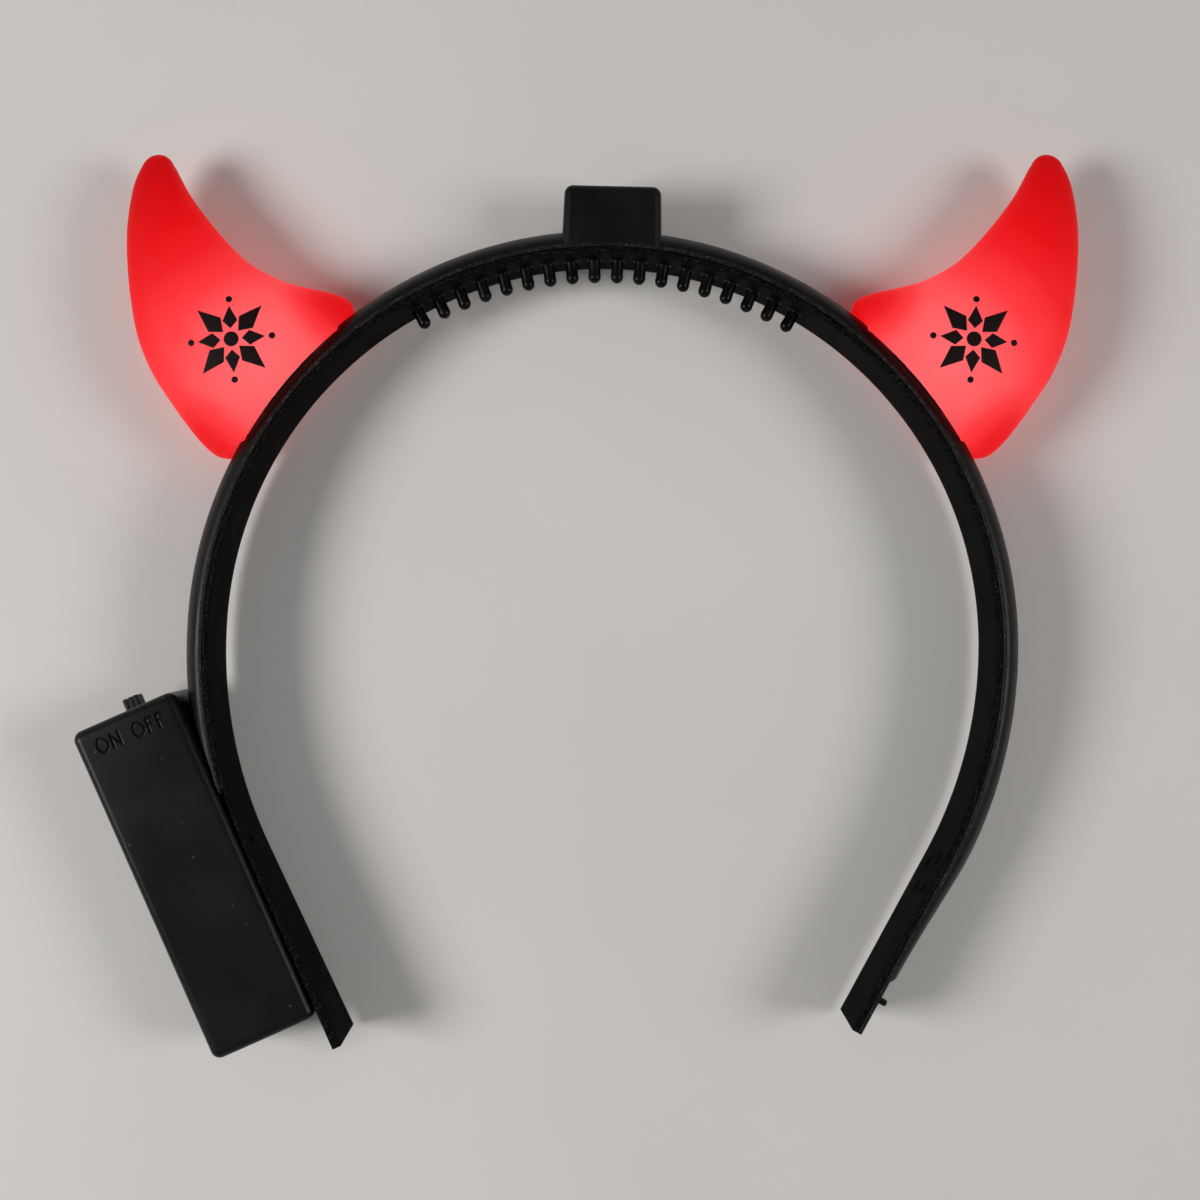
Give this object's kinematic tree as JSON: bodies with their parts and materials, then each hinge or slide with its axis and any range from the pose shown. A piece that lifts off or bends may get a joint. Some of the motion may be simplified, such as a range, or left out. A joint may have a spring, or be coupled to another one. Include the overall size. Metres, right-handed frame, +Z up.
{
  "type": "devil horns headband",
  "caption": "Light-up costume headband with a pair of soft red horns, a comb on its inner strip, and a battery box with a slide switch on one leg.",
  "frame": {"origin": "under the middle of the bounding box, on the surface that the headband lies on", "axes": "+X to the wearer's side with the plain leg, +Y from the leg tips to the crown, +Z up through the band's width"},
  "size_m": [0.1904, 0.1718, 0.0199],
  "materials": {
    "band_plastic": "black moulded plastic, satin",
    "horn_soft_plastic": "translucent red soft moulding, lit from inside",
    "box_plastic": "black moulded plastic, fine matt",
    "knob_plastic": "dark grey moulded plastic"
  },
  "bodies": {
    "headband": {"outer_band": "band_plastic", "inner_band": "band_plastic", "horn_left": "horn_soft_plastic", "horn_right": "horn_soft_plastic", "battery_box": "box_plastic", "battery_lid": "box_plastic"},
    "switch": {"switch_knob": "knob_plastic"}
  },
  "joints": [
    {"name": "switch_slide", "type": "slide", "parent": "headband", "child": "switch", "axis": [-0.915, -0.4035, 0], "range_m": [0, 0.0025]}
  ]
}
